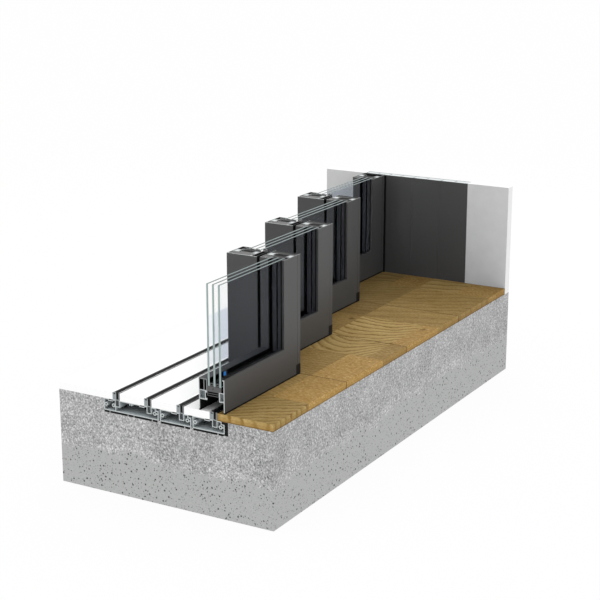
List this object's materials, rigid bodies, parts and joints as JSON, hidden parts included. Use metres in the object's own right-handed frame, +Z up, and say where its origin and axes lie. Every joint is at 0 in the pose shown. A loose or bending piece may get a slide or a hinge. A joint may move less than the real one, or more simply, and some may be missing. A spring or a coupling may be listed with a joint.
{
  "type": "sliding patio door section display",
  "caption": "Cut-away display of a multi-track sliding patio door: glazed sashes on a flush sill in a concrete plinth, with oak floor, white terrace finish, dark jamb and wall.",
  "frame": {"origin": "middle of the plinth's underside", "axes": "+X points indoors, +Y runs along the tracks from the section face to the jamb, +Z is up"},
  "size_m": [0.7, 1.585, 0.65],
  "materials": {
    "concrete": "rough cast concrete with fine pores",
    "white_finish": "smooth white mineral finish",
    "white_plaster": "fine matt white plaster",
    "oak": "oiled oak boards",
    "mill_aluminium": "plain extruded aluminium",
    "dark_coating": "matt dark grey powder coat on aluminium",
    "black_plastic": "matt black glass-filled plastic",
    "black_rubber": "matt black seal rubber",
    "clear_glass": "clear float glass with a pale green edge",
    "steel": "plain steel",
    "blue_plastic": "blue plastic"
  },
  "bodies": {
    "frame": {"concrete_slab": "concrete", "jamb_base": "dark_coating", "jamb_extensions": "dark_coating", "jamb_seal": "black_rubber", "oak_floor": "oak", "rail_strips": "black_rubber", "running_rails": "dark_coating", "sash_1_bottom_rail": "dark_coating", "sash_1_end_trim": "black_plastic", "sash_1_glass": "clear_glass", "sash_1_glazing_packer": "blue_plastic", "sash_1_glazing_seals": "black_rubber", "sash_1_insulating_bars": "black_plastic", "sash_1_rollers": "steel", "sash_1_stiles": "dark_coating", "sill_base": "mill_aluminium", "sill_end_seal": "black_rubber", "sill_extensions": "mill_aluminium", "sill_pads": "black_plastic", "terrace_slab": "white_finish", "threshold_infill": "white_finish", "wall_returns": "white_plaster"},
    "sash_2": {"sash_2_bottom_rail": "dark_coating", "sash_2_end_trim": "black_plastic", "sash_2_glass": "clear_glass", "sash_2_glazing_seals": "black_rubber", "sash_2_insulating_bars": "black_plastic", "sash_2_interlock_cover": "dark_coating", "sash_2_interlock_insert": "black_plastic", "sash_2_rollers": "steel", "sash_2_stiles": "dark_coating"},
    "sash_3": {"sash_3_bottom_rail": "dark_coating", "sash_3_end_trim": "black_plastic", "sash_3_glass": "clear_glass", "sash_3_glazing_seals": "black_rubber", "sash_3_insulating_bars": "black_plastic", "sash_3_interlock_cover": "dark_coating", "sash_3_interlock_insert": "black_plastic", "sash_3_rollers": "steel", "sash_3_stiles": "dark_coating"},
    "sash_4": {"sash_4_bottom_rail": "dark_coating", "sash_4_end_trim": "black_plastic", "sash_4_glass": "clear_glass", "sash_4_glazing_seals": "black_rubber", "sash_4_insulating_bars": "black_plastic", "sash_4_interlock_cover": "dark_coating", "sash_4_interlock_insert": "black_plastic", "sash_4_rollers": "steel", "sash_4_stiles": "dark_coating"}
  },
  "joints": [
    {"name": "sash_2_slide", "type": "slide", "parent": "frame", "child": "sash_2", "axis": [0, -1, 0], "range_m": [0, 0.309]},
    {"name": "sash_3_slide", "type": "slide", "parent": "frame", "child": "sash_3", "axis": [0, -1, 0], "range_m": [0, 0.691]},
    {"name": "sash_4_slide", "type": "slide", "parent": "frame", "child": "sash_4", "axis": [0, -1, 0], "range_m": [0, 1.073]}
  ]
}
